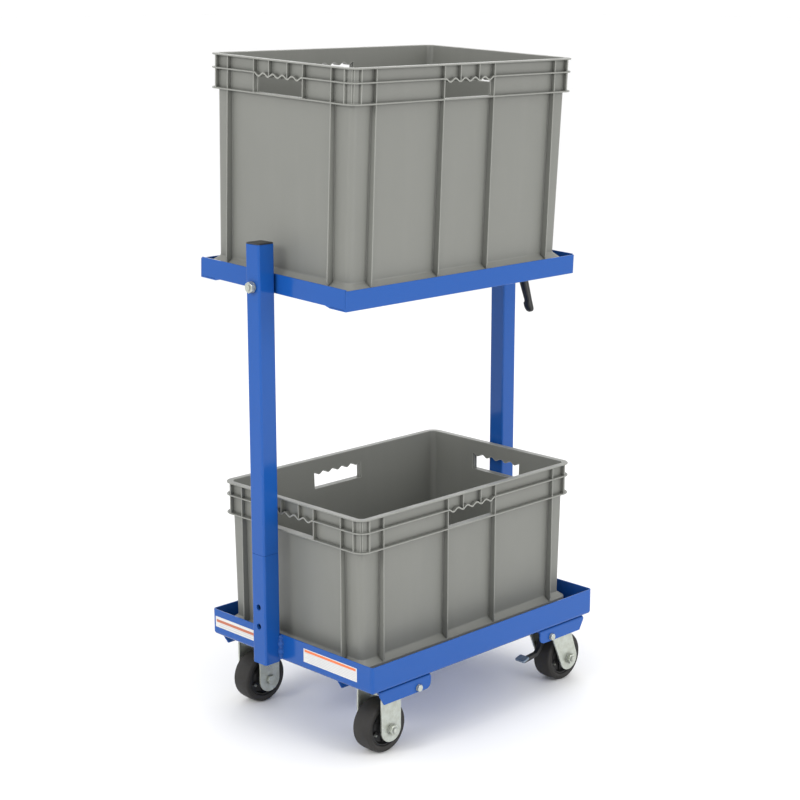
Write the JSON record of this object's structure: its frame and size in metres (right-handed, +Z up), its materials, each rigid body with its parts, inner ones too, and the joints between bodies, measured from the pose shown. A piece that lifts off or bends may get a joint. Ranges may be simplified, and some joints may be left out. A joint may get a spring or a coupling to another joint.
{
  "type": "two-tier tote cart",
  "caption": "Wheeled cart with a base tray, two square posts, a tilting upper tray with a clamp lever, and a stacking tote on each tray.",
  "frame": {"origin": "on the floor under the middle of the cart's bounding box, with the wheels standing on z = 0", "axes": "+Z up; +X along the cart's length towards the swivel casters and the clamp lever; -Y towards the front long side, the side that the upper tray's lower edge and the wider strip of base tray face"},
  "size_m": [0.7602, 0.4808, 1.2987],
  "materials": {
    "blue_paint": "glossy powder coat",
    "zinc": "bright zinc plate",
    "tyre": "matt rubber",
    "wheel_core": "moulded, matt",
    "cap_plastic": "moulded, satin",
    "lever_plastic": "moulded, fine grain",
    "tote_plastic": "moulded polypropylene, satin"
  },
  "bodies": {
    "cart": {"base_tray": "blue_paint", "post_socket_left": "blue_paint", "post_socket_right": "blue_paint", "post_spigot_left": "blue_paint", "post_spigot_right": "blue_paint", "post_left": "blue_paint", "post_right": "blue_paint", "post_cap_left": "cap_plastic", "post_cap_right": "cap_plastic", "caster_bracket_front_left": "blue_paint", "caster_bracket_front_right": "blue_paint", "caster_bracket_rear_left": "blue_paint", "caster_bracket_rear_right": "blue_paint", "bracket_bolt_front_left": "zinc", "bracket_bolt_front_right": "zinc", "bracket_bolt_rear_left": "zinc", "bracket_bolt_rear_right": "zinc", "rigid_fork_front": "zinc", "rigid_fork_rear": "zinc", "axle_sleeve_front_left": "zinc", "axle_sleeve_rear_left": "zinc", "axle_bolt_front_left": "zinc", "axle_bolt_rear_left": "zinc", "swivel_plate_front": "zinc", "swivel_plate_rear": "zinc", "kingpin_front": "zinc", "kingpin_rear": "zinc", "pivot_bolt_left": "zinc", "pivot_bolt_right": "zinc", "pivot_spacer_left": "zinc", "pivot_spacer_right": "zinc", "pivot_nut": "zinc"},
    "upper_tray": {"tray_side_rail_front": "blue_paint", "tray_side_rail_rear": "blue_paint", "tray_end_rail_left": "blue_paint", "tray_end_rail_right": "blue_paint"},
    "upper_tote": {"upper_tote": "tote_plastic"},
    "lower_tote": {"lower_tote": "tote_plastic"},
    "clamp_lever": {"clamp_lever": "lever_plastic"},
    "wheel_front_left": {"tyre_front_left": "tyre", "wheel_core_front_left": "wheel_core"},
    "wheel_front_right": {"tyre_front_right": "tyre", "wheel_core_front_right": "wheel_core"},
    "swivel_front": {"swivel_fork_front": "zinc", "axle_sleeve_front_right": "zinc", "axle_bolt_front_right": "zinc"},
    "brake_pedal_front": {"brake_pedal_front": "zinc"},
    "wheel_rear_left": {"tyre_rear_left": "tyre", "wheel_core_rear_left": "wheel_core"},
    "wheel_rear_right": {"tyre_rear_right": "tyre", "wheel_core_rear_right": "wheel_core"},
    "swivel_rear": {"swivel_fork_rear": "zinc", "axle_sleeve_rear_right": "zinc", "axle_bolt_rear_right": "zinc"},
    "brake_pedal_rear": {"brake_pedal_rear": "zinc"}
  },
  "joints": [
    {"name": "tray_tilt", "type": "hinge", "parent": "cart", "child": "upper_tray", "pos_m": [-0.01077, 0.03737, 0.88], "axis": [1, 0, 0], "range_deg": [-32.4, 27.6]},
    {"name": "clamp_lever_turn", "type": "hinge", "parent": "cart", "child": "clamp_lever", "pos_m": [-0.01077, 0.03737, 0.88], "axis": [1, 0, 0], "range_deg": [0, 120]},
    {"name": "upper_tote_lift", "type": "slide", "parent": "upper_tray", "child": "upper_tote", "axis": [0, -0.0419, 0.9991], "range_m": [0, 0.12]},
    {"name": "lower_tote_lift", "type": "slide", "parent": "cart", "child": "lower_tote", "axis": [0, 0, 1], "range_m": [0, 0.12]},
    {"name": "swivel_front", "type": "hinge", "parent": "cart", "child": "swivel_front", "pos_m": [0.22923, -0.18113, 0.13], "axis": [0, 0, 1], "continuous": true},
    {"name": "wheel_front_right_roll", "type": "hinge", "parent": "swivel_front", "child": "wheel_front_right", "pos_m": [0.26322, -0.18113, 0.051], "axis": [0, 1, 0], "continuous": true},
    {"name": "wheel_front_left_roll", "type": "hinge", "parent": "cart", "child": "wheel_front_left", "pos_m": [-0.25677, -0.18113, 0.051], "axis": [0, 1, 0], "continuous": true},
    {"name": "brake_pedal_front_press", "type": "hinge", "parent": "swivel_front", "child": "brake_pedal_front", "pos_m": [0.22423, -0.18113, 0.105], "axis": [0, -1, 0], "range_deg": [0, 12]},
    {"name": "swivel_rear", "type": "hinge", "parent": "cart", "child": "swivel_rear", "pos_m": [0.22923, 0.16987, 0.13], "axis": [0, 0, 1], "continuous": true},
    {"name": "wheel_rear_right_roll", "type": "hinge", "parent": "swivel_rear", "child": "wheel_rear_right", "pos_m": [0.26322, 0.16987, 0.051], "axis": [0, 1, 0], "continuous": true},
    {"name": "wheel_rear_left_roll", "type": "hinge", "parent": "cart", "child": "wheel_rear_left", "pos_m": [-0.25677, 0.16987, 0.051], "axis": [0, 1, 0], "continuous": true},
    {"name": "brake_pedal_rear_press", "type": "hinge", "parent": "swivel_rear", "child": "brake_pedal_rear", "pos_m": [0.22423, 0.16987, 0.105], "axis": [0, -1, 0], "range_deg": [0, 12]}
  ]
}
